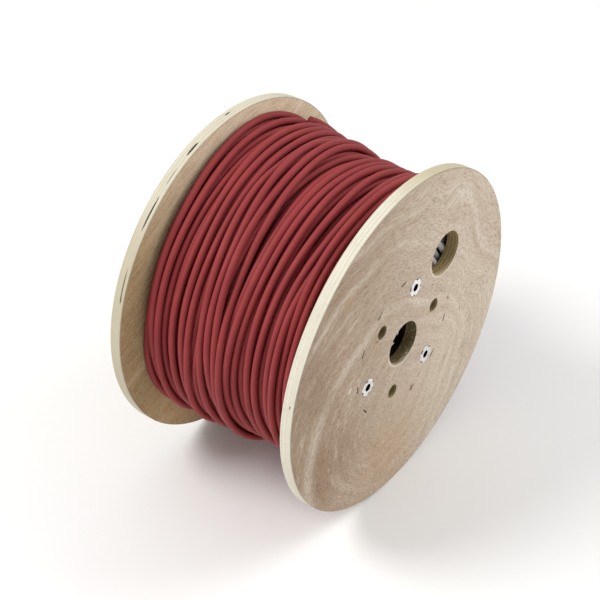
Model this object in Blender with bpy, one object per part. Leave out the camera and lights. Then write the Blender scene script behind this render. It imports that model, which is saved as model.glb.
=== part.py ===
"""Plywood cable drum: two round flanges on a barrel sleeve, bolted together and wound with cable.

The drum stands on the rims of its flanges with its axis along Y. The front flange, which carries
the tee nuts and the lead-out hole, faces -Y. Z = 0 is the ground.
"""
import math

import bmesh
import bpy
from mathutils import Matrix, Vector

# Driving dimensions, in metres.
FLANGE_RADIUS = 0.200
FLANGE_THICKNESS = 0.014
OVERALL_WIDTH = 0.240
RIM_CHAMFER = 0.0008
BORE_RADIUS = 0.026
GAP = 0.0003

DRIVE_HOLE_RADIUS = 0.008
DRIVE_HOLE_CIRCLE = 0.060
DRIVE_HOLE_ANGLES = (14.0, 134.0, 254.0)
LEAD_OUT_RADIUS = 0.0262
LEAD_OUT_CIRCLE = 0.1061
LEAD_OUT_ANGLE = 45.2

SLEEVE_RADIUS = 0.092
SLEEVE_WALL = 0.004
RING_INNER_RADIUS = 0.074
RING_THICKNESS = 0.012

BOLT_CIRCLE = 0.0674
BOLT_ANGLES = (74.0, 194.0, 314.0)
BOLT_RADIUS = 0.004
BOLT_HOLE_RADIUS = 0.0045
BOLT_END_DEPTH = 0.005
HEX_ACROSS_FLATS = 0.013
HEX_HEIGHT = 0.0053
WASHER_RADIUS = 0.012
WASHER_THICKNESS = 0.0016
WASHER_SEAT_DEPTH = 0.0015

TEE_FLANGE_RADIUS = 0.0103
TEE_FLANGE_THICKNESS = 0.0014
TEE_PROUD = 0.0005
TEE_BARREL_RADIUS = 0.005
TEE_THREAD_RADIUS = 0.0043
TEE_BARREL_LENGTH = 0.011
PRONG_WIDTH = 0.0032
PRONG_THICKNESS = 0.0012
PRONG_LENGTH = 0.0075
PRONG_CIRCLE = 0.0079

STAPLE_CIRCLE = 0.084
STAPLE_CROWN = 0.0095
STAPLE_WIDTH = 0.0013
STAPLE_WIRE = 0.0011
STAPLE_LENGTH = 0.021
STAPLE_SUNK = 0.0002
FRONT_STAPLE_ANGLES = (93.0, 124.0, 154.0, 185.0, 215.0, 286.0, 317.0, 347.0)
REAR_STAPLE_ANGLES = (18.0, 54.0, 95.0, 141.0, 176.0, 222.0, 263.0, 309.0)

WINDING_INNER_RADIUS = 0.0924
WINDING_FRONT_RADIUS = 0.1645
WINDING_REAR_RADIUS = 0.1735
WINDING_END_GAP = 0.0005
WINDING_WAVE = 0.0012

# Mesh resolution.
FLANGE_SIDES = 96
ROUND_SIDES = 72
HOLE_SIDES = 32
SMALL_SIDES = 24

INNER_FACE = OVERALL_WIDTH / 2 - FLANGE_THICKNESS
OUTER_FACE = OVERALL_WIDTH / 2
# A flat facet of each rim faces the ground, so the axis is one facet's inradius above it.
AXIS_HEIGHT = FLANGE_RADIUS * math.cos(math.pi / FLANGE_SIDES)


def clear_scene():
    """Remove every object that the file opened with."""
    for obj in list(bpy.data.objects):
        bpy.data.objects.remove(obj, do_unlink=True)


def make_material(name, colour, roughness, metallic=0.0):
    """A Principled material with one colour, roughness and metallic value."""
    material = bpy.data.materials.new(name)
    material.use_nodes = True
    shader = material.node_tree.nodes["Principled BSDF"]
    shader.inputs["Base Color"].default_value = (*colour, 1.0)
    shader.inputs["Roughness"].default_value = roughness
    shader.inputs["Metallic"].default_value = metallic
    return material


def add_object(name, bm, drum, material=None, smooth=True):
    """Turn a bmesh into an object on the drum's axis frame."""
    bmesh.ops.recalc_face_normals(bm, faces=bm.faces)
    mesh = bpy.data.meshes.new(name)
    bm.to_mesh(mesh)
    bm.free()
    if smooth:
        mesh.shade_smooth()
        mesh.set_sharp_from_angle(angle=math.radians(32))
    obj = bpy.data.objects.new(name, mesh)
    bpy.context.scene.collection.objects.link(obj)
    obj.parent = drum
    if material is not None:
        mesh.materials.append(material)
    return obj


def add_cutter(name, bm, drum):
    """A hidden solid that a Boolean modifier uses."""
    cutter = add_object(name, bm, drum, smooth=False)
    cutter.hide_render = True
    cutter.display_type = "WIRE"
    cutter.hide_set(True)
    return cutter


def boolean(obj, other, operation):
    """Add an exact Boolean modifier that joins or cuts with another object."""
    modifier = obj.modifiers.new(f"{operation.lower()}_{other.name}", "BOOLEAN")
    modifier.operation = operation
    modifier.solver = "EXACT"
    modifier.object = other


def turned_bmesh(profile, sides):
    """Revolve a closed (radius, z) outline round Z. No point lies on the axis."""
    bm = bmesh.new()
    rings = []
    for i in range(sides):
        angle = 2 * math.pi * (i + 0.5) / sides
        ring = [bm.verts.new((r * math.cos(angle), r * math.sin(angle), z)) for r, z in profile]
        rings.append(ring)
    count = len(profile)
    for i in range(sides):
        here = rings[i]
        there = rings[(i + 1) % sides]
        for j in range(count):
            k = (j + 1) % count
            bm.faces.new((here[j], there[j], there[k], here[k]))
    return bm


def add_cylinder(bm, x, y, z_low, z_high, radius, sides):
    """Add one closed cylinder, parallel to Z, to a bmesh."""
    centre = Vector((x, y, (z_low + z_high) / 2))
    bmesh.ops.create_cone(
        bm,
        cap_ends=True,
        segments=sides,
        radius1=radius,
        radius2=radius,
        depth=z_high - z_low,
        matrix=Matrix.Translation(centre),
    )


def add_box(bm, low, high, matrix):
    """Add one closed box, given by two corners in the frame of matrix, to a bmesh."""
    low = Vector(low)
    high = Vector(high)
    size = high - low
    local = Matrix.Translation((low + high) / 2) @ Matrix.Diagonal((*size, 1.0))
    bmesh.ops.create_cube(bm, size=1.0, matrix=matrix @ local)


def on_circle(radius, degrees):
    """The point at that radius and angle, seen from the front with X to the right and Z up."""
    angle = math.radians(degrees)
    return radius * math.cos(angle), radius * math.sin(angle)


def side_matrix(side, radius, degrees):
    """A frame on a flange's outer face: its X is tangential and its Z points away from the drum.

    side is +1 for the front flange and -1 for the rear one.
    """
    x, y = on_circle(radius, degrees)
    place = Matrix.Translation((x, y, side * OUTER_FACE))
    turn = Matrix.Rotation(math.radians(degrees + 90), 4, "Z")
    flip = Matrix.Identity(4) if side > 0 else Matrix.Rotation(math.pi, 4, "X")
    return place @ turn @ flip


def flange_blank(side):
    """A round plywood disc with the spindle bore and a small chamfer on both rim edges."""
    inner = side * INNER_FACE
    outer = side * OUTER_FACE
    step = side * RIM_CHAMFER
    profile = [
        (BORE_RADIUS, inner),
        (FLANGE_RADIUS - RIM_CHAMFER, inner),
        (FLANGE_RADIUS, inner + step),
        (FLANGE_RADIUS, outer - step),
        (FLANGE_RADIUS - RIM_CHAMFER, outer),
        (BORE_RADIUS, outer),
    ]
    return turned_bmesh(profile, FLANGE_SIDES)


def hole_bmesh(side):
    """Cutters for the through holes of one flange."""
    bm = bmesh.new()
    low = min(side * INNER_FACE, side * OUTER_FACE) - 0.004
    high = max(side * INNER_FACE, side * OUTER_FACE) + 0.004
    for degrees in DRIVE_HOLE_ANGLES:
        x, y = on_circle(DRIVE_HOLE_CIRCLE, degrees)
        add_cylinder(bm, x, y, low, high, DRIVE_HOLE_RADIUS, HOLE_SIDES)
    bolt_hole = TEE_BARREL_RADIUS + GAP if side > 0 else BOLT_HOLE_RADIUS
    for degrees in BOLT_ANGLES:
        x, y = on_circle(BOLT_CIRCLE, degrees)
        add_cylinder(bm, x, y, low, high, bolt_hole, SMALL_SIDES)
    if side > 0:
        x, y = on_circle(LEAD_OUT_CIRCLE, LEAD_OUT_ANGLE)
        add_cylinder(bm, x, y, low, high, LEAD_OUT_RADIUS, 2 * SMALL_SIDES)
    return bm


def seat_bmesh(side):
    """Cutters for the shallow seats that the tee nuts or the washers are pulled into."""
    bm = bmesh.new()
    if side > 0:
        radius = TEE_FLANGE_RADIUS + GAP
        depth = TEE_FLANGE_THICKNESS - TEE_PROUD + GAP
    else:
        radius = WASHER_RADIUS + GAP
        depth = WASHER_SEAT_DEPTH
    face = side * OUTER_FACE
    low = min(face - side * depth, face + side * 0.004)
    high = max(face - side * depth, face + side * 0.004)
    for degrees in BOLT_ANGLES:
        x, y = on_circle(BOLT_CIRCLE, degrees)
        add_cylinder(bm, x, y, low, high, radius, HOLE_SIDES)
    return bm


def prong_slot_bmesh():
    """Cutters for the slots that the tee nuts' prongs have bitten into the front flange."""
    bm = bmesh.new()
    half_width = PRONG_WIDTH / 2 + GAP
    half_thickness = PRONG_THICKNESS / 2 + GAP
    depth = TEE_FLANGE_THICKNESS - TEE_PROUD + PRONG_LENGTH + GAP
    for degrees in BOLT_ANGLES:
        frame = side_matrix(1, BOLT_CIRCLE, degrees)
        for quarter in range(4):
            turn = Matrix.Rotation(quarter * math.pi / 2, 4, "Z")
            low = (PRONG_CIRCLE - half_thickness, -half_width, -depth)
            high = (PRONG_CIRCLE + half_thickness, half_width, 0.003)
            add_box(bm, low, high, frame @ turn)
    return bm


def staple_slot_bmesh(side, angles):
    """Cutters for the crown and the two legs of every staple of one flange, as U shapes."""
    bm = bmesh.new()
    for degrees in angles:
        frame = side_matrix(side, STAPLE_CIRCLE, degrees)
        add_staple(bm, frame, GAP, 0.003)
    return bm


def add_staple(bm, frame, grow, above):
    """Add one U-shaped staple to a bmesh. grow widens it on all sides, above raises its crown."""
    half = STAPLE_CROWN / 2 + grow
    inside = STAPLE_CROWN / 2 - STAPLE_WIRE - grow
    top = above if above > 0 else -STAPLE_SUNK
    under = -STAPLE_SUNK - STAPLE_WIRE - grow
    tip = -STAPLE_SUNK - STAPLE_LENGTH - grow
    outline = [
        (-half, tip),
        (-inside, tip),
        (-inside, under),
        (inside, under),
        (inside, tip),
        (half, tip),
        (half, top),
        (-half, top),
    ]
    half_width = STAPLE_WIDTH / 2 + grow
    near = [bm.verts.new(frame @ Vector((x, -half_width, z))) for x, z in outline]
    far = [bm.verts.new(frame @ Vector((x, half_width, z))) for x, z in outline]
    count = len(outline)
    for i in range(count):
        k = (i + 1) % count
        bm.faces.new((near[i], near[k], far[k], far[i]))
    for verts in (near, far):
        # The end cap is three quads, so that no face is concave.
        bm.faces.new((verts[0], verts[1], verts[2], verts[7]))
        bm.faces.new((verts[2], verts[3], verts[6], verts[7]))
        bm.faces.new((verts[3], verts[4], verts[5], verts[6]))


def make_flange(name, side, angles, drum, material):
    """One flange with its bore, drive holes, bolt holes, seats and staple slots."""
    flange = add_object(name, flange_blank(side), drum, material)
    word = "front" if side > 0 else "rear"
    boolean(flange, add_cutter(f"cut_holes_{word}", hole_bmesh(side), drum), "DIFFERENCE")
    boolean(flange, add_cutter(f"cut_seats_{word}", seat_bmesh(side), drum), "DIFFERENCE")
    if side > 0:
        boolean(flange, add_cutter("cut_prongs_front", prong_slot_bmesh(), drum), "DIFFERENCE")
    slots = add_cutter(f"cut_staples_{word}", staple_slot_bmesh(side, angles), drum)
    boolean(flange, slots, "DIFFERENCE")
    return flange, slots


def make_locating_ring(name, side, slots, drum, material):
    """The ring stapled to a flange's inner face, which centres the barrel sleeve."""
    outer_radius = SLEEVE_RADIUS - SLEEVE_WALL - 0.0004
    against = side * (INNER_FACE - GAP)
    free = side * (INNER_FACE - GAP - RING_THICKNESS)
    lead = side * 0.001
    profile = [
        (RING_INNER_RADIUS, against),
        (outer_radius, against),
        (outer_radius, free + lead),
        (outer_radius - 0.001, free),
        (RING_INNER_RADIUS, free),
    ]
    ring = add_object(name, turned_bmesh(profile, ROUND_SIDES), drum, material)
    boolean(ring, slots, "DIFFERENCE")
    return ring


def make_sleeve(drum, material):
    """The board tube that the cable is wound on."""
    half = INNER_FACE - GAP
    profile = [
        (SLEEVE_RADIUS - SLEEVE_WALL, -half),
        (SLEEVE_RADIUS, -half),
        (SLEEVE_RADIUS, half),
        (SLEEVE_RADIUS - SLEEVE_WALL, half),
    ]
    return add_object("barrel_sleeve", turned_bmesh(profile, ROUND_SIDES), drum, material)


def winding_radius(t):
    """Outer radius of the winding, from the rear flange at t = 0 to the front flange at t = 1."""
    fall = 0.5 - 0.5 * math.cos(math.pi * min(1.0, max(0.0, (t - 0.12) / 0.62)))
    radius = WINDING_REAR_RADIUS + (WINDING_FRONT_RADIUS - WINDING_REAR_RADIUS) * fall
    return radius + WINDING_WAVE * math.sin(4.5 * math.pi * t)


def make_winding(drum, material):
    """The wound cable as one turned ring with its uneven outer surface."""
    half = INNER_FACE - WINDING_END_GAP
    steps = 10
    profile = [(WINDING_INNER_RADIUS, -half)]
    shoulder = 0.004
    profile.append((winding_radius(0.0) - shoulder, -half))
    for i in range(steps + 1):
        t = i / steps
        z = -half + shoulder + (2 * half - 2 * shoulder) * t
        profile.append((winding_radius(t), z))
    profile.append((winding_radius(1.0) - shoulder, half))
    profile.append((WINDING_INNER_RADIUS, half))
    return add_object("cable_winding", turned_bmesh(profile, ROUND_SIDES), drum, material)


def tee_nut_bmesh():
    """A tee nut's round flange and threaded barrel, with Z = 0 at the flange's top face."""
    profile = [
        (TEE_THREAD_RADIUS, 0.0),
        (TEE_FLANGE_RADIUS - 0.0003, 0.0),
        (TEE_FLANGE_RADIUS, -0.0003),
        (TEE_FLANGE_RADIUS, -TEE_FLANGE_THICKNESS),
        (TEE_BARREL_RADIUS, -TEE_FLANGE_THICKNESS),
        (TEE_BARREL_RADIUS, -TEE_BARREL_LENGTH),
        (TEE_THREAD_RADIUS, -TEE_BARREL_LENGTH),
    ]
    return turned_bmesh(profile, HOLE_SIDES)


def notch_bmesh():
    """The four openings in a tee nut's flange that its prongs were bent out of."""
    bm = bmesh.new()
    half_width = PRONG_WIDTH / 2 + 0.0004
    start = PRONG_CIRCLE + PRONG_THICKNESS / 2
    for quarter in range(4):
        turn = Matrix.Rotation(quarter * math.pi / 2, 4, "Z")
        low = (start, -half_width, -TEE_FLANGE_THICKNESS - 0.001)
        high = (TEE_FLANGE_RADIUS + 0.003, half_width, 0.001)
        add_box(bm, low, high, turn)
    return bm


def prong_bmesh():
    """Four tapered prongs below a tee nut's flange."""
    bm = bmesh.new()
    top = -TEE_FLANGE_THICKNESS / 2
    tip = -TEE_FLANGE_THICKNESS - PRONG_LENGTH
    half_width = PRONG_WIDTH / 2
    near = PRONG_CIRCLE - PRONG_THICKNESS / 2
    far = PRONG_CIRCLE + PRONG_THICKNESS / 2 - 0.0001
    for quarter in range(4):
        turn = Matrix.Rotation(quarter * math.pi / 2, 4, "Z")
        corners = []
        for z, half in ((top, half_width), (tip, 0.0006)):
            for x, y in ((near, -half), (far, -half), (far, half), (near, half)):
                corners.append(bm.verts.new(turn @ Vector((x, y, z))))
        bm.faces.new(corners[:4])
        bm.faces.new(corners[4:])
        for i in range(4):
            k = (i + 1) % 4
            bm.faces.new((corners[i], corners[k], corners[4 + k], corners[4 + i]))
    return bm


def make_tee_nuts(drum, material):
    """Three tee nuts in the front flange, each with its notches and prongs."""
    for number, degrees in enumerate(BOLT_ANGLES, start=1):
        frame = side_matrix(1, BOLT_CIRCLE, degrees) @ Matrix.Translation((0, 0, TEE_PROUD))
        nut = add_object(f"tee_nut_{number}", tee_nut_bmesh(), drum, material)
        notches = add_cutter(f"cut_notches_{number}", notch_bmesh(), drum)
        prongs = add_cutter(f"prongs_{number}", prong_bmesh(), drum)
        for obj in (nut, notches, prongs):
            obj.matrix_local = frame
        boolean(nut, notches, "DIFFERENCE")
        boolean(nut, prongs, "UNION")


def make_bolts(drum, steel, zinc):
    """Three bolts from the rear flange's washers, through the barrel, into the tee nuts."""
    seat = -OUTER_FACE + WASHER_SEAT_DEPTH - 0.0001
    washer_top = seat - WASHER_THICKNESS
    head_low = washer_top - 0.0001
    end = OUTER_FACE - BOLT_END_DEPTH
    for number, degrees in enumerate(BOLT_ANGLES, start=1):
        x, y = on_circle(BOLT_CIRCLE, degrees)
        place = Matrix.Translation((x, y, 0))

        shank = bmesh.new()
        add_cylinder(shank, 0, 0, head_low - HEX_HEIGHT / 2, end, BOLT_RADIUS, SMALL_SIDES)
        bolt = add_object(f"tie_bolt_{number}", shank, drum, steel)
        bolt.matrix_local = place

        hexagon = bmesh.new()
        corner = HEX_ACROSS_FLATS / 2 / math.cos(math.pi / 6)
        add_cylinder(hexagon, 0, 0, head_low - HEX_HEIGHT, head_low, corner, 6)
        head = add_cutter(f"hex_head_{number}", hexagon, drum)
        head.matrix_local = place @ Matrix.Rotation(math.radians(17 * number), 4, "Z")
        boolean(bolt, head, "UNION")

        profile = [
            (BOLT_HOLE_RADIUS, washer_top),
            (WASHER_RADIUS, washer_top),
            (WASHER_RADIUS, seat),
            (BOLT_HOLE_RADIUS, seat),
        ]
        washer = add_object(f"washer_{number}", turned_bmesh(profile, HOLE_SIDES), drum, zinc)
        washer.matrix_local = place


def make_staples(word, side, angles, drum, material):
    """One staple at each angle, its crown just under the face and its legs in the ring."""
    for number, degrees in enumerate(angles, start=1):
        bm = bmesh.new()
        add_staple(bm, side_matrix(side, STAPLE_CIRCLE, degrees), 0.0, 0.0)
        add_object(f"staple_{word}_{number}", bm, drum, material, smooth=False)


def build():
    """Model the whole drum."""
    clear_scene()
    drum = bpy.data.objects.new("drum_axis", None)
    bpy.context.scene.collection.objects.link(drum)
    drum.location = (0.0, 0.0, AXIS_HEIGHT)
    drum.rotation_euler = (math.radians(90), 0.0, 0.0)

    plywood = make_material("plywood", (0.52, 0.40, 0.29), 0.72)
    board = make_material("barrel_board", (0.36, 0.26, 0.16), 0.85)
    ring_ply = make_material("ring_plywood", (0.50, 0.37, 0.22), 0.8)
    sheath = make_material("cable_sheath", (0.33, 0.045, 0.05), 0.55)
    zinc = make_material("zinc_plate", (0.78, 0.79, 0.80), 0.32, 1.0)
    steel = make_material("bolt_steel", (0.66, 0.67, 0.68), 0.38, 1.0)
    wire = make_material("staple_wire", (0.50, 0.49, 0.46), 0.45, 1.0)

    _, front_slots = make_flange("flange_front", 1, FRONT_STAPLE_ANGLES, drum, plywood)
    _, rear_slots = make_flange("flange_rear", -1, REAR_STAPLE_ANGLES, drum, plywood)
    make_locating_ring("locating_ring_front", 1, front_slots, drum, ring_ply)
    make_locating_ring("locating_ring_rear", -1, rear_slots, drum, ring_ply)
    make_sleeve(drum, board)
    make_winding(drum, sheath)
    make_tee_nuts(drum, zinc)
    make_bolts(drum, steel, zinc)
    make_staples("front", 1, FRONT_STAPLE_ANGLES, drum, wire)
    make_staples("rear", -1, REAR_STAPLE_ANGLES, drum, wire)


build()
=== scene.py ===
"""Looks for the plywood cable drum: materials, the wound cable, floor, light and camera."""
import math
import random

import bmesh
import bpy
import numpy as np
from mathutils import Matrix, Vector


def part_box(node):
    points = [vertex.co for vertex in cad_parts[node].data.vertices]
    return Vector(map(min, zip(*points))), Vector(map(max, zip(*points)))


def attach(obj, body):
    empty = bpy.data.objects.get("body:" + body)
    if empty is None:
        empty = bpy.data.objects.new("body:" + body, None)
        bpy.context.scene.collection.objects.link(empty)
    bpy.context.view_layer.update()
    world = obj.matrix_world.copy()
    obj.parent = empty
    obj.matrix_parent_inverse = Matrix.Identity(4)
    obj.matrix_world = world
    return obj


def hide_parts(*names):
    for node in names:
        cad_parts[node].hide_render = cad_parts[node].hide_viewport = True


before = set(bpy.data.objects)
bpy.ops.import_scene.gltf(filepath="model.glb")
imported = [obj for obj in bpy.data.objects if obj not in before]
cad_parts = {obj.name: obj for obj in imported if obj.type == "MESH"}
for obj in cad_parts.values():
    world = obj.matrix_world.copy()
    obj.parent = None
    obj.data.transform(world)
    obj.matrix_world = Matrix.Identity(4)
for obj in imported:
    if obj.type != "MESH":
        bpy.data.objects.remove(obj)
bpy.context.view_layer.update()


def on_circle(radius, degrees):
    """A place on a flange: x and z from the axis."""
    return radius * math.cos(math.radians(degrees)), radius * math.sin(math.radians(degrees))


# ---------------------------------------------------------------- sizes of the CAD model, metres
# The drum's axis lies along Y. INNER and OUTER are the distances of the flanges' inner and
# outer faces from the middle of the drum.
FRONT_LOW, FRONT_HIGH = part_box("flange_front")
SLEEVE_LOW, SLEEVE_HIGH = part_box("barrel_sleeve")
FLANGE_R = (FRONT_HIGH[0] - FRONT_LOW[0]) / 2
AXIS_Z = (FRONT_HIGH[2] + FRONT_LOW[2]) / 2
INNER = -FRONT_HIGH[1]
OUTER = -FRONT_LOW[1]
BARREL_R = (SLEEVE_HIGH[0] - SLEEVE_LOW[0]) / 2
PLIES = 7

# Holes in the front flange: x and z from the axis, radius.
BORE = (0.0, 0.0, 0.026)
LEAD_OUT = (*on_circle(0.1061, 45.2), 0.0262)
DRIVE_HOLE = (*on_circle(0.060, 14.0), 0.0082)
BOLT_CIRCLE = 0.0674
BOLT_ANGLES = (74.0, 194.0, 314.0)
THREAD_R = 0.0043

# ---------------------------------------------------------------- the cable
# PER_TURN points make one turn. The outer SHELL_TURNS are drawn in full, and the hidden inner
# ones with fewer points and sides. DRAWN_D is a little thinner than the cable, so that turns
# that touch do not cut into each other. EDGE is the farthest that the cable's centre gets from
# the middle of the drum, and CORE_R the nearest that it gets to the axis.
CABLE_D = 0.0078
DRAWN_D = CABLE_D * 0.985
PER_TURN = 120
SHELL_TURNS = 84
SHELL_SIDES = 12
SHELL_PIECES = 4
INNER_SIDES = 8
INNER_STEP = 2
EDGE = INNER - CABLE_D / 2 - 0.0007
CORE_R = BARREL_R + 0.0003 + CABLE_D / 2

# How much is wound, and where it starts and ends round the drum. The tail is led over the
# last layer, partly in a straight line, and ends TAIL_CLEAR away from the rear flange.
SEED = 21
FULL_LAYERS = 9
PARTIAL_TURNS = 9.0
MOST_TURNS = 240
START_ANGLE = math.radians(15)
TAIL_FROM = math.radians(235)
TAIL_TO = math.radians(53.5)
TAIL_CATCH = math.radians(2)
TAIL_STRAIGHT = 0.25
TAIL_CLEAR = 0.001

# How the turns lie. Gaps, noises and the wobble are in cable diameters, periods in turns. The
# neat inner layers turn into the loose outer ones from layer CALM_LAYERS on, within CALM_BLEND
# of a layer. CALM_LOOSE thickens the inner turns, and OUTER_SEEK is the share of the search to
# the sides that is left in the outer ones. DRIFT makes the periods themselves wander.
CALM_LAYERS = 6.5
CALM_BLEND = 0.8
CALM_GAP = 0.04
CALM_NOISE = 0.15
CALM_PERIODS = (1.7, 3.1)
CALM_LOOSE = 0.12
OUTER_GAP = 0.45
OUTER_NOISE = 0.7
OUTER_PERIODS = (0.71, 1.3, 2.3, 4.1)
OUTER_SEEK = 0.5
WOBBLE = 0.12
WOBBLE_ANGLE = math.radians(130)
DRIFT = 1.4
DRIFT_PERIOD = 7.3

# At a flange, which it has reached when it is AT_FLANGE away, the cable runs straight for these
# shares of a turn: before it starts a new layer, and after it has filled the old one.
AT_FLANGE = 0.3 * CABLE_D
HOLD_START = 0.5
HOLD_END = 0.47

# Laying one point: how far to the sides it looks for a lower place, what it costs to leave the
# aim and the last point's line, the longest step sideways, and how fast it sinks or climbs.
SEEK = np.linspace(-0.5, 0.5, 21) * CABLE_D
COST_OFF_AIM = 0.42
COST_OFF_LINE = 0.5
LAYING_STEP = 0.0006
TAIL_STEP = 0.0016
SINKING = 0.8
CLIMBING = 0.5
NEARBY_TURNS = 46


def wandering(rng, count, periods):
    """A slowly wandering value along the cable: sines of several periods, in turns."""
    turn = np.arange(count) / PER_TURN
    value = np.zeros(count)
    for period in periods:
        phase = rng.uniform(0, 2 * math.pi)
        slow = 2 * math.pi * turn / (period * DRIFT_PERIOD) + rng.uniform(0, 2 * math.pi)
        drift = DRIFT * np.sin(slow)
        value += np.sin(2 * math.pi * turn / period + phase + drift)
    return value / math.sqrt(len(periods))


def resting_radius(y, near_y, near_r, diameter):
    """The lowest centre radius for a cable at each y that clears the cables already laid."""
    if len(near_y) == 0:
        return np.full(np.shape(y), CORE_R)
    gap = np.abs(np.asarray(y)[..., None] - near_y)
    lift = np.sqrt(np.clip(diameter**2 - gap**2, 0, None))
    reach = np.where(gap < diameter, near_r + lift, 0)
    return np.maximum(CORE_R, reach.max(axis=-1))


def wind_cable():
    """Lay the whole cable, each turn beside the last one and resting on the layer below.

    The inner layers are neat. The outer ones have wider, wandering gaps, so that their
    turns lie at different heights and cross at shallow angles. The last length is led
    over the others to the rear flange. Gives the distance along the axis and the radius
    of every point.
    """
    rng = random.Random(SEED)
    longest = PER_TURN * MOST_TURNS
    calm = wandering(rng, longest, CALM_PERIODS)
    wild = wandering(rng, longest, OUTER_PERIODS)
    laid_y = np.zeros((PER_TURN, MOST_TURNS + 2))
    laid_r = np.zeros((PER_TURN, MOST_TURNS + 2))
    laid = np.zeros(PER_TURN, int)
    ys, rs = [], []
    way, layer, since, tail = 1 if FULL_LAYERS % 2 else -1, 0, 0, None
    y, r, held = -way * EDGE, CORE_R, 0
    tail_span = ((TAIL_TO - TAIL_FROM) % (2 * math.pi)) / (2 * math.pi) * PER_TURN
    while len(ys) < longest - 2:
        n = len(ys)
        angle = (START_ANGLE + n * 2 * math.pi / PER_TURN) % (2 * math.pi)
        across = (y * way + EDGE) / (2 * EDGE)
        loose = min(1, max(0, (layer + across - CALM_LAYERS) / CALM_BLEND))
        gap = (CALM_GAP + CALM_NOISE * calm[n]) * (1 - loose)
        gap += (OUTER_GAP + OUTER_NOISE * wild[n]) * loose
        gap -= WOBBLE * loose * way * math.cos(angle - WOBBLE_ANGLE)
        if tail is not None:
            t = (n - tail[0]) / tail_span
            if t >= 1:
                break
            led = TAIL_STRAIGHT * t + (1 - TAIL_STRAIGHT) * t * t * (3 - 2 * t)
            aim = tail[1] + (EDGE - TAIL_CLEAR - tail[1]) * led
        elif since < PER_TURN:
            t = max(0, (since / PER_TURN - HOLD_START) / (1 - HOLD_START))
            aim = -way * EDGE + way * CABLE_D * (1 + gap) * t * t * (3 - 2 * t)
        else:
            aim = ys[n - PER_TURN] + way * CABLE_D * (1 + gap)
        aim = min(EDGE, max(-EDGE, aim))
        slot = n % PER_TURN
        have = laid[slot]
        first = max(0, have - NEARBY_TURNS)
        near = (laid_y[slot, first:have], laid_r[slot, first:have])
        thick = CABLE_D * (1 + CALM_LOOSE * (1 - loose))
        goal, rate = aim, TAIL_STEP
        if tail is None:
            options = np.clip(aim + SEEK * (1 - (1 - OUTER_SEEK) * loose), -EDGE, EDGE)
            cost = resting_radius(options, *near, thick) / CABLE_D
            cost += COST_OFF_AIM * ((options - aim) / CABLE_D) ** 2
            cost += COST_OFF_LINE * ((options - y) / CABLE_D) ** 2
            goal, rate = options[int(np.argmin(cost))], LAYING_STEP
        y += max(-rate, min(rate, goal - y))
        rest = resting_radius(np.array([y]), *near, thick)[0]
        keep = SINKING if rest < r else CLIMBING
        r = keep * r + (1 - keep) * rest if n else rest
        ys.append(y)
        rs.append(r)
        laid_y[slot, have] = y
        laid_r[slot, have] = r
        laid[slot] += 1
        since += 1
        if tail is None and since > 2 * PER_TURN and way * y >= EDGE - AT_FLANGE:
            held += 1
            if held >= HOLD_END * PER_TURN:
                layer, way, since, held = layer + 1, -way, 0, 0
        late = layer == FULL_LAYERS and since >= PARTIAL_TURNS * PER_TURN
        if tail is None and late and abs(angle - TAIL_FROM) < TAIL_CATCH:
            tail = (n + 1, y)
    return np.array(ys), np.array(rs)


def blur(values, sigma):
    """Gaussian smoothing along the cable, with the ends held."""
    reach = int(4 * sigma)
    weight = np.exp(-0.5 * (np.arange(-reach, reach + 1) / sigma) ** 2)
    weight /= weight.sum()
    padded = np.concatenate([np.full(reach, values[0]), values, np.full(reach, values[-1])])
    return np.convolve(padded, weight, mode="valid")


# Settling: rounds, the outer turns that may move, how many turns below them are looked at, how
# far they are pulled in, how much they are straightened, and how much of an overlap is undone.
SETTLE_ROUNDS = 24
FREE_TURNS = 60
BELOW_TURNS = 26
PULL_IN = 0.005 * CABLE_D
STRAIGHTEN = 0.2
BLUR_POINTS = 2.0
PUSHES = 2
PUSH_SHARE = 0.72
NOWHERE = 9.0


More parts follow.
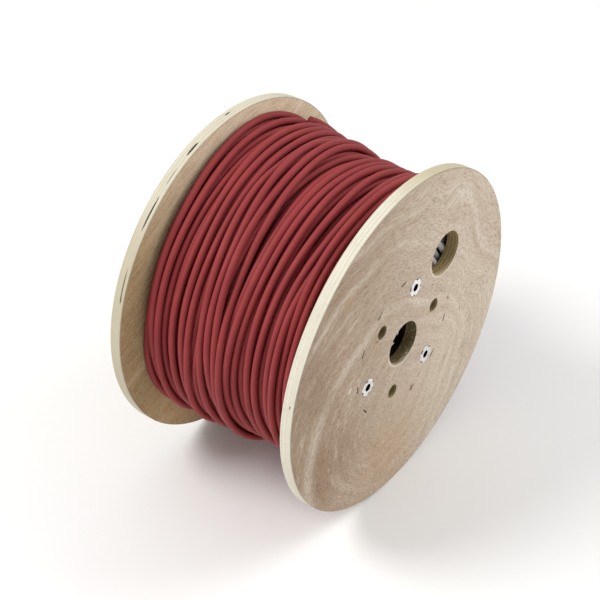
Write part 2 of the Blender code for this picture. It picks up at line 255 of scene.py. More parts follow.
def settle(y, r):
    """Smooth the outer turns as a stiff cable would lie, and push overlapping turns apart."""
    count = len(y)
    rows = -(-count // PER_TURN)
    pad = rows * PER_TURN - count
    free_from = count - FREE_TURNS * PER_TURN
    top = max(0, rows - FREE_TURNS - BELOW_TURNS)
    base = top * PER_TURN
    free = slice(free_from, count)
    movable = np.arange(base, rows * PER_TURN) >= free_from
    grid = movable.reshape(-1, PER_TURN)
    share = np.where(grid[None, :, :], 0.5, 1.0)
    keep = movable[: count - base]
    own = np.arange(rows - top)
    for step in range(SETTLE_ROUNDS):
        r[free] -= PULL_IN * (1 - step / SETTLE_ROUNDS)
        y[free] = (1 - STRAIGHTEN) * y[free] + STRAIGHTEN * blur(y, BLUR_POINTS)[free]
        r[free] = (1 - STRAIGHTEN) * r[free] + STRAIGHTEN * blur(r, BLUR_POINTS)[free]
        for _ in range(PUSHES):
            gy = np.concatenate([y, np.full(pad, NOWHERE)]).reshape(rows, PER_TURN)[top:]
            gr = np.concatenate([r, np.full(pad, NOWHERE)]).reshape(rows, PER_TURN)[top:]
            dy = gy[:, None, :] - gy[None, :, :]
            dr = gr[:, None, :] - gr[None, :, :]
            apart = np.sqrt(np.maximum(dy * dy + dr * dr, 1e-12))
            touch = (apart < CABLE_D) & (gy[:, None, :] < 1) & (gy[None, :, :] < 1)
            touch[own, own, :] = False
            push = np.where(touch, (CABLE_D - apart) * share / apart, 0)
            number = np.maximum(1, touch.sum(axis=1))
            ease = np.where(number > 2, np.minimum(PUSH_SHARE, 2 * PUSH_SHARE / number), PUSH_SHARE)
            ease = ease * grid
            new_y = (gy + (push * dy).sum(axis=1) * ease).reshape(-1)[: count - base]
            new_r = (gr + (push * dr).sum(axis=1) * ease).reshape(-1)[: count - base]
            y[base:] = np.where(keep, new_y, y[base:])
            r[base:] = np.where(keep, new_r, r[base:])
            y[:] = np.clip(y, -EDGE, EDGE)
            r[:] = np.maximum(r, CORE_R)
    return y, r


# The winding is a little out of round, more at the surface and more at the rear flange: for
# once and twice round the drum, the swell at the front, what the rear adds, and its direction.
SPREAD = 1.03
SURFACE_R = 0.168
SWELLS = ((1, 0.0036, 0.0020, math.radians(50)), (2, 0.0024, 0.0020, math.radians(40)))


def centre_line(y, r):
    """The cable's angle and its points in the model's frame, slightly out of round."""
    angle = START_ANGLE + np.arange(len(y)) * 2 * math.pi / PER_TURN
    r = CORE_R + (r - CORE_R) * SPREAD
    depth = np.clip((r - BARREL_R) / (SURFACE_R - BARREL_R), 0, 1.1)
    rear = np.clip(0.5 + y / (2 * INNER), 0, 1)
    swell = sum(
        (front + more * rear) * np.cos(times * (angle - direction))
        for times, front, more, direction in SWELLS
    )
    out = r + depth * swell
    points = np.stack([out * np.cos(angle), y, AXIS_Z + out * np.sin(angle)], axis=1)
    return angle, points


def add_object(name, data):
    """Put a mesh, lamp or camera into the scene."""
    obj = bpy.data.objects.new(name, data)
    bpy.context.scene.collection.objects.link(obj)
    return obj


def tube_object(name, points, angle, diameter, sides, material):
    """A closed round tube along the points, its seam kept facing away from the axis."""
    tangent = np.gradient(points, axis=0)
    tangent /= np.linalg.norm(tangent, axis=1, keepdims=True)
    out = np.stack([np.cos(angle), np.zeros(len(angle)), np.sin(angle)], axis=1)
    normal = out - (out * tangent).sum(axis=1, keepdims=True) * tangent
    normal /= np.linalg.norm(normal, axis=1, keepdims=True)
    side = np.cross(tangent, normal)
    turn = 2 * math.pi * np.arange(sides) / sides
    ring = (
        normal[:, None, :] * np.cos(turn)[None, :, None]
        + side[:, None, :] * np.sin(turn)[None, :, None]
    )
    verts = (points[:, None, :] + ring * diameter / 2).reshape(-1, 3)
    count = len(points)
    i = np.arange(count - 1)[:, None]
    j = np.arange(sides)[None, :]
    k = (j + 1) % sides
    quads = np.stack(
        [i * sides + j, i * sides + k, (i + 1) * sides + k, (i + 1) * sides + j], axis=-1
    ).reshape(-1, 4)
    faces = quads.tolist()
    faces.append(list(range(sides - 1, -1, -1)))
    faces.append([(count - 1) * sides + j for j in range(sides)])
    mesh = bpy.data.meshes.new(name)
    mesh.from_pydata(verts.tolist(), [], faces)
    mesh.validate()
    mesh.shade_smooth()
    mesh.set_sharp_from_angle(angle=math.radians(60))
    mesh.materials.append(material)
    return add_object(name, mesh)


# ---------------------------------------------------------------- material helpers
class Paint:
    """A Principled material and the few node calls that the recipes below need."""

    def __init__(self, name, **shader):
        self.material = bpy.data.materials.new(name)
        self.material.use_nodes = True
        self.tree = self.material.node_tree
        self.bsdf = self.tree.nodes["Principled BSDF"]
        for key, value in shader.items():
            self.bsdf.inputs[key.replace("_", " ")].default_value = value
        coords = self.tree.nodes.new("ShaderNodeTexCoord")
        self.normal = coords.outputs["Normal"]
        self.place = coords.outputs["Object"]

    def _plug(self, socket, value):
        if isinstance(value, bpy.types.NodeSocket):
            self.tree.links.new(value, socket)
        else:
            socket.default_value = value

    def math(self, operation, a, b=0.0):
        node = self.tree.nodes.new("ShaderNodeMath")
        node.operation = operation
        for socket, value in zip(node.inputs, (a, b)):
            self._plug(socket, value)
        return node.outputs[0]

    def add(self, a, b):
        return self.math("ADD", a, b)

    def sub(self, a, b):
        return self.math("SUBTRACT", a, b)

    def mul(self, a, b):
        return self.math("MULTIPLY", a, b)

    def most(self, a, b):
        """The larger value. The first may be None, for a list that has just begun."""
        return b if a is None else self.math("MAXIMUM", a, b)

    def length(self, a, b):
        return self.math("SQRT", self.add(self.mul(a, a), self.mul(b, b)))

    def swing(self, noise, size):
        """Noise moved to lie round zero and scaled."""
        return self.mul(self.sub(noise, 0.5), size)

    def locate(self):
        """Make x, y and z of the place on the drum, with z from the axis."""
        self.x = self.dot(self.place, (1, 0, 0))
        self.y = self.dot(self.place, (0, 1, 0))
        self.z = self.sub(self.dot(self.place, (0, 0, 1)), AXIS_Z)

    def away(self, at_x, at_z):
        """Distance in the plane of the flange from one place on it."""
        return self.length(self.sub(self.x, at_x), self.sub(self.z, at_z))

    def spot(self, at_x, at_z, spread, strength):
        """A soft round patch, at full strength in its middle."""
        return self.span(self.away(at_x, at_z), spread, 0.0, 0.0, strength)

    def dot(self, vector, direction):
        node = self.tree.nodes.new("ShaderNodeVectorMath")
        node.operation = "DOT_PRODUCT"
        self._plug(node.inputs[0], vector)
        node.inputs[1].default_value = direction
        return node.outputs["Value"]

    def vector(self, x, y, z):
        node = self.tree.nodes.new("ShaderNodeCombineXYZ")
        for socket, value in zip(node.inputs, (x, y, z)):
            self._plug(socket, value)
        return node.outputs[0]

    def noise(self, vector, scale, detail=2.0, roughness=0.5):
        node = self.tree.nodes.new("ShaderNodeTexNoise")
        self._plug(node.inputs["Vector"], vector)
        node.inputs["Scale"].default_value = scale
        node.inputs["Detail"].default_value = detail
        node.inputs["Roughness"].default_value = roughness
        return node.outputs["Fac"]

    def span(self, value, low, high, to_low=0.0, to_high=1.0):
        """A smooth step from to_low to to_high. It falls when low is the larger end."""
        node = self.tree.nodes.new("ShaderNodeMapRange")
        node.interpolation_type = "SMOOTHSTEP"
        self._plug(node.inputs["Value"], value)
        node.inputs["From Min"].default_value = low
        node.inputs["From Max"].default_value = high
        node.inputs["To Min"].default_value = to_low
        node.inputs["To Max"].default_value = to_high
        return node.outputs["Result"]

    def mix(self, factor, a, b, blend="MIX"):
        node = self.tree.nodes.new("ShaderNodeMix")
        node.data_type = "RGBA"
        node.blend_type = blend
        self._plug(node.inputs["Factor"], factor)
        for key, value in (("A", a), ("B", b)):
            socket = [s for s in node.inputs if s.name == key and s.type == "RGBA"][0]
            if isinstance(value, bpy.types.NodeSocket):
                self.tree.links.new(value, socket)
            else:
                socket.default_value = (*value, 1.0)
        return [s for s in node.outputs if s.type == "RGBA"][0]

    def tint(self, base, colour, value, low, high, strength=1.0, blend="MIX"):
        """Bring a colour in, at this strength once the value has gone from low to high."""
        return self.mix(self.span(value, low, high, 0.0, strength), base, colour, blend)

    def bump(self, height, strength, distance):
        node = self.tree.nodes.new("ShaderNodeBump")
        node.inputs["Strength"].default_value = strength
        node.inputs["Distance"].default_value = distance
        self._plug(node.inputs["Height"], height)
        return node.outputs["Normal"]

    def finish(self, colour=None, roughness=None, normal=None):
        for key, value in (("Base Color", colour), ("Roughness", roughness), ("Normal", normal)):
            if value is not None:
                self._plug(self.bsdf.inputs[key], value)
        return self.material


# ---------------------------------------------------------------- plywood
DARK_GRAIN = (0.70, 0.62, 0.55)
DARK_FIBRE = (0.66, 0.58, 0.50)
CHALK = (0.92, 0.90, 0.85)
PAINTED_EDGE_SHADE = (0.19, 0.13, 0.075)
PALE_PLY = (0.66, 0.60, 0.43)
GLUE = (0.42, 0.345, 0.215)
SAW_LINES = (0.55, 0.49, 0.36)
EDGE_GRIT = (0.50, 0.43, 0.29)
PAINTED_SLIT_SHADE = (0.030, 0.022, 0.012)
AGED_SHADED_BORE_WALL = (0.135, 0.090, 0.037)
AGED_SHADED_HOLE_WALLS = (0.37, 0.27, 0.12)
WALL_PLY = (0.15, 0.115, 0.055)
WALL_GRIT = (0.46, 0.40, 0.25)
TORN_FACE = (0.80, 0.75, 0.58)
TORN_EDGE = (0.66, 0.55, 0.33)


class Plywood(Paint):
    """Veneered plywood: figured faces, and plies with glue lines wherever it is cut.

    The figure of the face veneer is a set of wavy arches. `style` gives the colours, the
    place of the arches, the gaps between the core veneers in the rim, and small marks.
    """

    def __init__(self, name, style):
        super().__init__(name, Roughness=0.78, Specular_IOR_Level=0.3)
        self.style = style
        self.locate()
        self.flat = self.vector(self.x, self.y, self.z)
        self.radius = self.length(self.x, self.z)
        self.turn = self.math("ARCTAN2", self.z, self.x)
        self.fuzz = self.noise(self.flat, 560.0, 2.0, 0.7)
        self.grit = self.noise(self.flat, 330.0, 3.0, 0.6)
        self.worn = self.noise(self.flat, 30.0, 3.0, 0.6)
        self.figure()
        self.plies()

    def figure(self):
        """The lines of the veneer: distance from a point below the hub, bent by broad noise."""
        arch_x, arch_z, lean = self.style["arch"]
        bend = self.swing(self.noise(self.flat, 9.0, 1.2), 0.07)
        from_x = self.add(self.sub(self.x, arch_x), bend)
        from_z = self.sub(self.z, arch_z)
        reach = self.length(from_x, from_z)
        self.ring = self.add(self.add(reach, self.mul(self.x, lean)), bend)
        self.around = self.math("ARCTAN2", from_z, from_x)
        self.fibre = self.noise(self.grain(880.0, 22.0, 0.0), 1.0, 2.0, 0.6)
        self.streak = self.noise(self.grain(170.0, 3.5, 2.0), 1.0, 3.0, 0.6)

    def grain(self, across, along, phase):
        """Noise space stretched along the grain."""
        return self.vector(self.mul(self.ring, across), self.mul(self.around, along), phase)

    def plies(self):
        """Depth below the inner face, the ply that it lies in, and the glue line between plies."""
        self.depth = self.sub(self.math("ABSOLUTE", self.y), INNER)
        wave = self.swing(self.noise(self.flat, 16.0, 1.0), 0.0011)
        self.ply = self.math("DIVIDE", self.add(self.depth, wave), (OUTER - INNER) / PLIES)
        seam = self.math("ABSOLUTE", self.sub(self.math("FRACT", self.ply), 0.5))
        self.glue = self.mul(self.span(seam, 0.40, 0.49), self.span(self.worn, 0.35, 0.65, 0.15, 0.8))

    def face(self):
        """The face veneer: broad tones, partly painted light and shade, pale lines, grain, chalky
        specks, marks and a painted shade along the rim.
        """
        style = self.style
        # Painted light and shade: across the face, along the drift direction, the low tone turns into
        # the high one.
        drift_x, drift_z, drift_from, drift_to = style["drift"]
        drift = self.span(self.dot(self.flat, (drift_x, 0.0, drift_z)), drift_from, drift_to)
        base = self.mix(drift, style["low"], style["high"])
        base = self.tint(base, style["stain"], self.noise(self.flat, 7.5, 3.0, 0.55), 0.36, 0.66, 0.4)
        base = self.tint(base, style["patch"], self.noise(self.flat, 26.0, 3.0, 0.6), 0.52, 0.78, 0.35)
        bands = self.noise(self.grain(34.0, 0.0, style["phase"]), 1.0, 3.0, 0.6)
        base = self.tint(base, style["dark"], bands, 0.66, 0.34, 0.30)
        # Soft round patches of painted light and shade.
        for at_x, at_z, spread, colour, strength in style["light_and_shade_patches"]:
            base = self.mix(self.spot(at_x, at_z, spread, strength), base, colour)
        base, near_line = self.pale_lines(base)
        base = self.tint(base, DARK_GRAIN, self.streak, 0.50, 0.70, style["streak"], "MULTIPLY")
        base = self.tint(base, style["pale"], self.streak, 0.46, 0.28, style["streak"] * 0.8)
        base = self.tint(base, DARK_FIBRE, self.fibre, 0.46, 0.64, 0.72, "MULTIPLY")
        base = self.tint(base, DARK_FIBRE, self.fuzz, 0.50, 0.68, 0.58, "MULTIPLY")
        base = self.tint(base, style["pale"], self.fuzz, 0.44, 0.28, 0.22)
        base = self.mix(self.chalk(near_line), base, CHALK)
        for mark in style["marks"]:
            base = self.mark(base, *mark)
        outside = (OUTER - 0.004, OUTER - 0.001)
        base = self.tint(base, style["outside"], self.y, *outside, 1.0, "MULTIPLY")
        # Painted shade: a thin dark band along the outer edge of the face.
        border = (FLANGE_R - 0.0016, FLANGE_R - 0.0002)
        return self.tint(base, PAINTED_EDGE_SHADE, self.radius, *border, 0.75)

    def pale_lines(self, base):
        """Broken pale contours of the figure, and how near each point is to one of them."""
        near_line = 0.0
        for at, width, strength in self.style["pale_lines"]:
            off = self.math("ABSOLUTE", self.sub(self.ring, at))
            near_line = self.most(near_line, self.span(off, 0.008, 0.002))
            broken = self.span(self.noise(self.flat, 14.0, 3.0), 0.36, 0.6, 0.25, 1.0)
            line = self.mul(self.span(off, width, 0.0, 0.0, strength), broken)
            base = self.mix(line, base, self.style["pale"])
        return base, near_line

    def chalk(self, near_line):
        """White specks near the pale lines, in a few places only."""
        chalky = 0.0
        for at_x, at_z, spread in self.style["chalk"]:
            chalky = self.most(chalky, self.spot(at_x, at_z, spread, 1.0))
        specks = self.mul(self.span(self.noise(self.flat, 560.0, 1.0), 0.58, 0.66), near_line)
        return self.mul(specks, self.span(chalky, 0.1, 0.5, 0.0, 0.6))

    def mark(self, base, at_x, at_z, long, wide, degrees, tone):
        """A small ragged oval: a knot, a nick or a stain."""
        cos, sin = math.cos(math.radians(degrees)), math.sin(math.radians(degrees))
        u = self.sub(self.dot(self.flat, (cos, 0, sin)), at_x * cos + at_z * sin)
        v = self.sub(self.dot(self.flat, (-sin, 0, cos)), at_z * cos - at_x * sin)
        far = self.length(self.math("DIVIDE", u, long / 2), self.math("DIVIDE", v, wide / 2))
        far = self.add(far, self.swing(self.fuzz, 1.6))
        return self.tint(base, tone, far, 1.2, 0.6, 0.92)

    def rim(self):
        """The sawn rim: plies alternately along and across the cut, glue lines, saw lines."""
        style = self.style
        layer = self.math("FLOOR", self.ply)
        cross = self.math("COSINE", self.mul(self.turn, 2.0))
        sign = self.sub(self.mul(self.math("PINGPONG", layer, 1.0), 2.0), 1.0)
        across = self.span(self.mul(cross, sign), -0.8, 0.8)
        edge = self.mix(across, style["edge_along"], style["edge_across"])
        own = self.noise(self.vector(0.0, self.mul(layer, 3.7), style["phase"]), 1.0, 0.0)
        edge = self.tint(edge, PALE_PLY, own, 0.52, 0.66, 0.35)
        for degrees, colour, strength in style["edge_tints"]:
            side = self.math("COSINE", self.sub(self.turn, math.radians(degrees)))
            edge = self.tint(edge, colour, side, 0.72, 0.97, strength)
        edge = self.mix(self.glue, edge, GLUE)
        lines = self.vector(self.mul(self.turn, 9.0), self.mul(self.y, 2600.0), 0.0)
        edge = self.tint(edge, SAW_LINES, self.noise(lines, 1.0, 2.0), 0.5, 0.75, 0.30)
        return self.tint(edge, EDGE_GRIT, self.grit, 0.54, 0.8, 0.45)

    def gaps(self):
        """The ragged slits between the core veneers in the rim, painted near-black as shade."""
        hollow = None
        for degrees, long, ply, high in self.style["gaps"]:
            along = self.mul(self.sub(self.turn, math.radians(degrees)), FLANGE_R / (long / 2))
            along = self.math("POWER", self.math("ABSOLUTE", along), 2.0)
            level = self.math("DIVIDE", self.sub(self.ply, ply), high)
            level = self.math("POWER", self.math("ABSOLUTE", level), 2.0)
            ragged = self.add(self.add(along, level), self.swing(self.grit, 1.2))
            hollow = self.most(hollow, self.span(ragged, 1.15, 0.75))
        return hollow

    def hole_walls(self):
        """The sawn walls of the holes: aged wood with painted shade, darker in the bore."""
        # Aged wood and painted shade: the walls are much darker than the rim, darkest in the bore.
        wall = self.mix(self.span(self.radius, 0.035, 0.075), AGED_SHADED_BORE_WALL, AGED_SHADED_HOLE_WALLS)
        every_other = self.math("PINGPONG", self.ply, 1.0)
        wall = self.tint(wall, WALL_PLY, every_other, 0.35, 0.7, 0.55)
        return self.tint(wall, WALL_GRIT, self.grit, 0.5, 0.75, 0.5)

    def torn(self):
        """Torn pale fibres round the lower edges of the big holes, on the outer face."""
        torn = None
        for hole_x, hole_z, hole_r in self.style["torn_holes"]:
            off_x = self.sub(self.x, hole_x)
            off_z = self.sub(self.z, hole_z)
            lower = self.span(self.add(off_z, self.mul(off_x, 0.5)), 0.0, -hole_r)
            from_edge = self.math("ABSOLUTE", self.sub(self.length(off_x, off_z), hole_r))
            torn = self.most(torn, self.mul(lower, self.span(from_edge, 0.0030, 0.0008)))
        deep = self.add(self.depth, self.swing(self.worn, 0.012))
        torn = self.mul(torn, self.span(deep, OUTER - INNER - 0.007, OUTER - INNER - 0.001))
        return self.mul(torn, self.span(self.fuzz, 0.35, 0.55, 0.35, 1.0))

    def done(self):
        """Put faces, rim and hole walls together, each with its own bump."""
        in_hole = self.span(self.radius, 0.172, 0.160)
        hollow = self.mul(self.gaps(), self.sub(1.0, in_hole))
        # The slits are painted near-black: painted shade in the voids.
        edge = self.mix(self.mul(hollow, 0.93), self.rim(), PAINTED_SLIT_SHADE)
        edge = self.mix(in_hole, edge, self.hole_walls())
        torn = self.torn()
        edge = self.mix(self.mul(torn, 0.85), edge, TORN_EDGE)
        base = self.mix(self.mul(torn, 0.75), self.face(), TORN_FACE)
        facing = self.math("ABSOLUTE", self.dot(self.normal, (0, 1, 0)))
        on_face = self.span(facing, 0.6, 0.8)
        on_edge = self.sub(1.0, on_face)
        rough_face = self.add(self.mul(self.fuzz, 0.6), self.mul(self.fibre, 0.5))
        rough_edge = self.sub(self.mul(self.grit, -0.8), self.mul(hollow, 3.0))
        rough_edge = self.sub(rough_edge, self.glue)
        height = self.add(self.mul(rough_face, on_face), self.mul(rough_edge, on_edge))
        return self.finish(self.mix(on_face, edge, base), None, self.bump(height, 0.5, 0.0005))


# Places are x and z from the axis in metres, and angles are in degrees.
#   arch        centre of the arches, and how far they lean
#   drift       direction x and z in which the low tone turns into the high one, from and to: painted light and shade
#   light_and_shade_patches  x, z, radius, colour, strength: painted light and shade
#   pale_lines  distance from the centre of the arches, half width, strength
#   chalk       x, z, radius
#   edge_tints  angle round the rim, colour, strength
#   gaps        angle round the rim, length, ply, half height in plies
#   marks       x, z, length, width, angle, colour
FRONT_STYLE = {
    "arch": (0.0, -0.08, 0.2),
    "phase": 3.1,
    # Painted light and shade: the front face is lighter towards +x.
    "drift": (0.95, -0.10, -0.17, 0.12),
    "streak": 0.42,
    "outside": (1.0, 1.0, 1.0),
    "torn_holes": (BORE, LEAD_OUT),
    "chalk": ((0.095, 0.125, 0.045), (0.035, 0.052, 0.030), (0.150, 0.060, 0.035)),
    # Painted shade: darker patches low down and on the left of the front face.
    "light_and_shade_patches": (
        (-0.020, -0.150, 0.100, (0.56, 0.37, 0.215), 0.45),
        (-0.150, -0.080, 0.100, (0.32, 0.218, 0.135), 0.60),
        (-0.170, 0.060, 0.070, (0.36, 0.265, 0.185), 0.40),
    ),
    "low": (0.375, 0.272, 0.185),
    "high": (0.76, 0.663, 0.546),
    "stain": (0.60, 0.48, 0.39),
    "patch": (0.53, 0.45, 0.345),
    "dark": (0.44, 0.32, 0.225),
    "pale": (0.80, 0.72, 0.61),
    "pale_lines": (
        (0.137, 0.012, 0.45),
        (0.214, 0.007, 0.40),
        (0.254, 0.008, 0.45),
        (0.098, 0.007, 0.20),
    ),
    "edge_along": (0.76, 0.735, 0.64),
    "edge_across": (0.70, 0.665, 0.54),
    "edge_tints": ((58, (0.50, 0.43, 0.27), 0.75),),
    "gaps": ((166, 0.004, 4.4, 0.3), (300, 0.02, 2.5, 0.4)),
    "marks": (
        (0.022, -0.081, 0.0120, 0.0032, -73, (0.33, 0.20, 0.08)),
        (0.036, -0.071, 0.0100, 0.0026, 36, (0.36, 0.24, 0.10)),
        (0.090, -0.084, 0.0100, 0.0030, 42, (0.38, 0.25, 0.11)),
        (0.087, 0.006, 0.0070, 0.0038, -60, (0.38, 0.22, 0.10)),
        (0.115, -0.028, 0.0100, 0.0018, -80, (0.38, 0.26, 0.15)),
        (-0.106, 0.126, 0.0160, 0.0110, 20, (0.45, 0.325, 0.20)),
        (-0.098, 0.002, 0.0090, 0.0050, 30, (0.72, 0.62, 0.44)),
        (-0.115, -0.014, 0.0050, 0.0024, 0, (0.26, 0.16, 0.09)),
        (-0.110, -0.043, 0.0045, 0.0030, 0, (0.22, 0.13, 0.08)),
        (-0.047, 0.066, 0.0075, 0.0022, 58, (0.22, 0.15, 0.09)),
        (-0.004, 0.083, 0.0065, 0.0020, 15, (0.26, 0.17, 0.10)),
        (-0.051, 0.037, 0.0080, 0.0042, 150, (0.33, 0.22, 0.11)),
        (0.050, 0.010, 0.0110, 0.0034, 25, (0.45, 0.31, 0.16)),
        (0.006, -0.033, 0.0300, 0.0085, 35, (0.50, 0.39, 0.32)),
    ),
}
REAR_STYLE = {
    "arch": (0.10, -0.60, -0.1),
    "phase": 7.7,
    # Painted light and shade: the rear inner face is lighter towards +x and up, with a very pale high
    # tone.
    "drift": (0.90, 0.43, -0.15, 0.09),
    "streak": 0.16,
    "outside": (0.66, 0.68, 0.78),
    "torn_holes": (BORE,),
    "chalk": (),
    # Painted light: a lighter patch low on the face, against the winding's shade there.
    "light_and_shade_patches": ((-0.130, -0.150, 0.100, (0.78, 0.58, 0.33), 0.8),),
    "low": (0.47, 0.345, 0.175),
    "high": (0.96, 0.84, 0.63),
    "stain": (0.58, 0.45, 0.26),
    "patch": (0.55, 0.43, 0.24),
    "dark": (0.44, 0.32, 0.16),
    "pale": (0.88, 0.77, 0.55),
    "pale_lines": ((0.64, 0.010, 0.3), (0.78, 0.008, 0.3)),
    "edge_along": (0.65, 0.625, 0.525),
    "edge_across": (0.59, 0.54, 0.41),
    "edge_tints": ((170, (0.49, 0.43, 0.30), 0.65),),
    "gaps": (
        (90, 0.009, 4.25, 0.45),
        (108, 0.020, 2.7, 0.72),
        (119, 0.020, 2.6, 0.16),
        (132, 0.040, 2.5, 0.50),
        (155.5, 0.042, 2.4, 0.30),
        (159.5, 0.008, 2.2, 0.34),
        (187, 0.005, 3.3, 0.40),
        (40, 0.020, 3.5, 0.40),
    ),
    "marks": ((0.05, 0.08, 0.012, 0.002, 20, (0.33, 0.22, 0.11)),),
}


# ---------------------------------------------------------------- other materials
def cable_paint(name, low, high, scuff=None):
    """Dull PVC sheath with faint mottling and, if a colour is given for them, fine scuffs."""
    p = Paint(name, Roughness=0.6, Specular_IOR_Level=0.2)
    fine = p.noise(p.place, 650.0, 2.0)
    base = p.mix(p.span(p.noise(p.place, 22.0, 2.0), 0.3, 0.7), low, high)
    if scuff is not None:
        base = p.tint(base, scuff, fine, 0.55, 0.8, 0.35)
    return p.finish(base, p.span(fine, 0.3, 0.8, 0.55, 0.68), p.bump(fine, 0.12, 0.0003))


def metal_paint(name, colour, roughness, scratch, threaded=False):
    """Plated steel with fine scratches and slightly uneven shine.

    `threaded` darkens the threaded holes of the tee nuts with painted shade.
    """
    p = Paint(name, Metallic=1.0)
    p.locate()
    cloud = p.noise(p.place, 260.0, 3.0)
    base = p.tint(colour, tuple(c * 0.72 for c in colour), cloud, 0.35, 0.75)
    if threaded:
        for degrees in BOLT_ANGLES:
            off = p.away(*on_circle(BOLT_CIRCLE, degrees))
            # Painted shade inside the threaded hole.
            base = p.tint(base, THREAD_SHADE, off, THREAD_R + 0.0003, THREAD_R + 0.0001)
    rough = p.span(cloud, 0.3, 0.7, roughness * 0.8, roughness * 1.35)
    lines = p.vector(p.mul(p.x, 900.0), p.y, p.mul(p.dot(p.place, (0, 0, 1)), 4200.0))
    return p.finish(base, rough, p.bump(p.noise(lines, 1.0, 1.0), scratch, 0.0001))


def board_paint(name, colour):
    """Rough brown board or sawn wood inside the barrel, and torn fibres."""
    p = Paint(name, Roughness=0.85)
    fine = p.noise(p.place, 420.0, 3.0)
    base = p.tint(colour, tuple(c * 0.6 for c in colour), p.noise(p.place, 30.0, 3.0), 0.3, 0.7)
    base = p.tint(base, tuple(c * 0.45 for c in colour), fine, 0.45, 0.75, 0.5)
    return p.finish(base, None, p.bump(fine, 0.4, 0.0006))


RED = ((0.279, 0.038, 0.040), (0.312, 0.045, 0.047), (0.238, 0.033, 0.035))
PALE_GREY = ((0.55, 0.54, 0.52), (0.70, 0.69, 0.67))
THREAD_SHADE = (0.045, 0.035, 0.025)
ZINC = (0.97, 0.97, 0.96)
BOLT_STEEL = (0.075, 0.065, 0.055)
STAPLE_WIRE = (0.16, 0.12, 0.09)
RING_BOARD = (0.42, 0.31, 0.19)
SLEEVE_BOARD = (0.30, 0.21, 0.13)
SPLINTER_WOOD = (0.84, 0.77, 0.58)


def dress_cad():
    """Give every CAD node that stays in view its material, by the start of its name."""
    zinc = metal_paint("zinc", ZINC, 0.38, 0.15, threaded=True)
    looks = {
        "flange_front": Plywood("plywood_front", FRONT_STYLE).done(),
        "flange_rear": Plywood("plywood_rear", REAR_STYLE).done(),
        "locating_ring": board_paint("ring_board", RING_BOARD),
        "barrel_sleeve": board_paint("sleeve_board", SLEEVE_BOARD),
        "tee_nut": zinc,
        "washer": zinc,
        "tie_bolt": metal_paint("bolt_steel", BOLT_STEEL, 0.55, 0.2),
        "staple": metal_paint("staple_wire", STAPLE_WIRE, 0.55, 0.1),
    }
    for node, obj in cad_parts.items():
        for start, paint in looks.items():
            if node.startswith(start) and obj.type == "MESH":
                obj.data.materials.clear()
                obj.data.materials.append(paint)


# Torn fibres: hole, first and last angle in degrees, how many, longest, widest.
SPLINTER_SEED = 5
SPLINTERS = (
    (BORE, 98, 165, 12, 0.0048, 0.0016),
    (BORE, 200, 300, 24, 0.0016, 0.0007),
    (LEAD_OUT, 195, 300, 28, 0.0020, 0.0007),
    (DRIVE_HOLE, 190, 260, 5, 0.0018, 0.0006),
)


def splinter(rng, hole, first, last, longest, widest):
    """Corners of one sliver: a square root in the edge of the hole and a tip over the hole."""
    hole_x, hole_z, hole_r = hole
    a = math.radians(rng.uniform(first, last))
    y = -OUTER + rng.uniform(0.0003, 0.0035)
    long = rng.uniform(0.25, 1.0) * longest
    wide = rng.uniform(0.5, 1.0) * widest
    thick = rng.uniform(0.0003, 0.0006)
    inward = Vector((-math.cos(a), 0, -math.sin(a)))
    along = Vector((-math.sin(a), 0, math.cos(a)))
    out = Vector((0, -1, 0))
    root = Vector((hole_x, y, AXIS_Z + hole_z)) - inward * (hole_r - 0.0002)
    tip = root + inward * long + along * rng.uniform(-0.8, 0.8) * long
    tip += out * rng.uniform(-0.3, 0.6) * long * 0.5
    return [
        root + along * wide + out * thick,
        root - along * wide + out * thick,
        root - along * wide - out * thick,
        root + along * wide - out * thick,
        tip,
    ]


def splinters():
    """Torn fibres that still stand up from the edges of the holes in the front flange."""
    rng = random.Random(SPLINTER_SEED)
    sides = ((0, 3, 2, 1), (0, 1, 4), (1, 2, 4), (2, 3, 4), (3, 0, 4))
    verts, faces = [], []
    for hole, first, last, count, longest, widest in SPLINTERS:
        for _ in range(count):
            start = len(verts)
            verts.extend(tuple(c) for c in splinter(rng, hole, first, last, longest, widest))
            faces.extend([start + i for i in face] for face in sides)
    mesh = bpy.data.meshes.new("hole_splinters")
    mesh.from_pydata(verts, [], faces)
    mesh.validate()
    work = bmesh.new()
    work.from_mesh(mesh)
    bmesh.ops.recalc_face_normals(work, faces=work.faces)
    work.to_mesh(mesh)
    work.free()
    mesh.materials.append(board_paint("splinter_wood", SPLINTER_WOOD))
    obj = add_object("hole_splinters", mesh)
    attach(obj, "root")


def dress_cable():
    """The wound cable: plain pale inner layers, and a red shell in several pieces.

    It is one cable. Each piece starts at the point where the one before it ends.
    """
    angle, points = centre_line(*settle(*wind_cable()))
    length = np.linalg.norm(np.diff(points, axis=0), axis=1).sum()
    print(f"CABLE length {length:.1f} m, {len(points) / PER_TURN:.1f} turns")
    red = cable_paint("cable_sheath", *RED)
    pale = cable_paint("cable_sheath_inner", *PALE_GREY)
    total = len(points)
    shell = SHELL_TURNS * PER_TURN
    ends = [total - shell + round(i * shell / SHELL_PIECES) for i in range(SHELL_PIECES + 1)]
    cuts = [("cable_inner_layers", slice(0, ends[0] + 1, INNER_STEP), INNER_SIDES, pale)]
    for i in range(SHELL_PIECES):
        piece = slice(ends[i], min(total, ends[i + 1] + 1))
        cuts.append((f"cable_outer_layers_{i + 1}", piece, SHELL_SIDES, red))
    for name, piece, sides, paint in cuts:
        obj = tube_object(name, points[piece], angle[piece], DRAWN_D, sides, paint)
        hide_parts("cable_winding")
        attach(obj, "root")


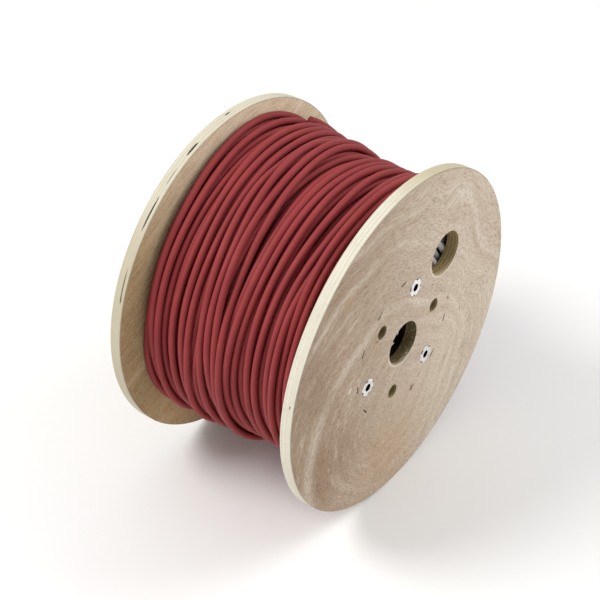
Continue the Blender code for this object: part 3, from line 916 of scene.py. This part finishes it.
# ---------------------------------------------------------------- stage, light and camera
FLOOR_HALF = 12.0
FLOOR_GREY = 0.93
WORLD_STRENGTH = 0.60
LIGHTS = (
    ("key", (-1.3, 1.25, 2.2), 1.2, 46.0, (1.0, 0.985, 0.96)),
    ("fill", (1.35, -1.25, 1.8), 1.4, 21.0, (1.0, 1.0, 1.0)),
)
CAMERA_AZIMUTH = math.radians(53.11)
CAMERA_ELEVATION = math.radians(39.56)
CAMERA_DISTANCE = 1.7752
CAMERA_AIM = Vector((-0.0085, 0.0118, AXIS_Z + 0.0002))
CAMERA_LENS = 96.22


def turn_to(obj, direction):
    """Turn a lamp or the camera so that it looks this way, with its top up."""
    obj.rotation_euler = direction.to_track_quat("-Z", "Y").to_euler()


def make_floor():
    """A large pale floor."""
    mesh = bpy.data.meshes.new("floor")
    corners = ((-1, -1), (1, -1), (1, 1), (-1, 1))
    mesh.from_pydata([(FLOOR_HALF * x, FLOOR_HALF * y, 0) for x, y in corners], [], [(0, 1, 2, 3)])
    paint = Paint("floor_paint", Roughness=0.9)
    paint.bsdf.inputs["Base Color"].default_value = (FLOOR_GREY, FLOOR_GREY, FLOOR_GREY, 1)
    mesh.materials.append(paint.material)
    floor = add_object("floor", mesh)


def make_light():
    """White surroundings and two soft lamps."""
    world = bpy.data.worlds.new("studio")
    bpy.context.scene.world = world
    world.use_nodes = True
    background = world.node_tree.nodes["Background"]
    background.inputs["Color"].default_value = (1.0, 1.0, 1.0, 1)
    background.inputs["Strength"].default_value = WORLD_STRENGTH
    for name, place, width, power, colour in LIGHTS:
        lamp = bpy.data.lights.new(name, "AREA")
        lamp.shape = "DISK"
        lamp.size = width
        lamp.energy = power
        lamp.color = colour
        obj = add_object(name, lamp)
        obj.location = place
        turn_to(obj, Vector((0, 0, AXIS_Z)) - Vector(place))


def make_camera():
    """The camera, which looks down on the front flange from the left."""
    flat = math.cos(CAMERA_ELEVATION)
    away = Vector(
        (
            -math.sin(CAMERA_AZIMUTH) * flat,
            -math.cos(CAMERA_AZIMUTH) * flat,
            math.sin(CAMERA_ELEVATION),
        )
    )
    data = bpy.data.cameras.new("camera")
    data.sensor_width = 36.0
    data.lens = CAMERA_LENS
    data.clip_end = 50.0
    camera = add_object("camera", data)
    camera.location = CAMERA_AIM + away * CAMERA_DISTANCE
    turn_to(camera, -away)
    bpy.context.scene.camera = camera


bpy.context.scene.view_settings.view_transform = "Standard"
make_floor()
make_light()
make_camera()
dress_cad()
splinters()
dress_cable()
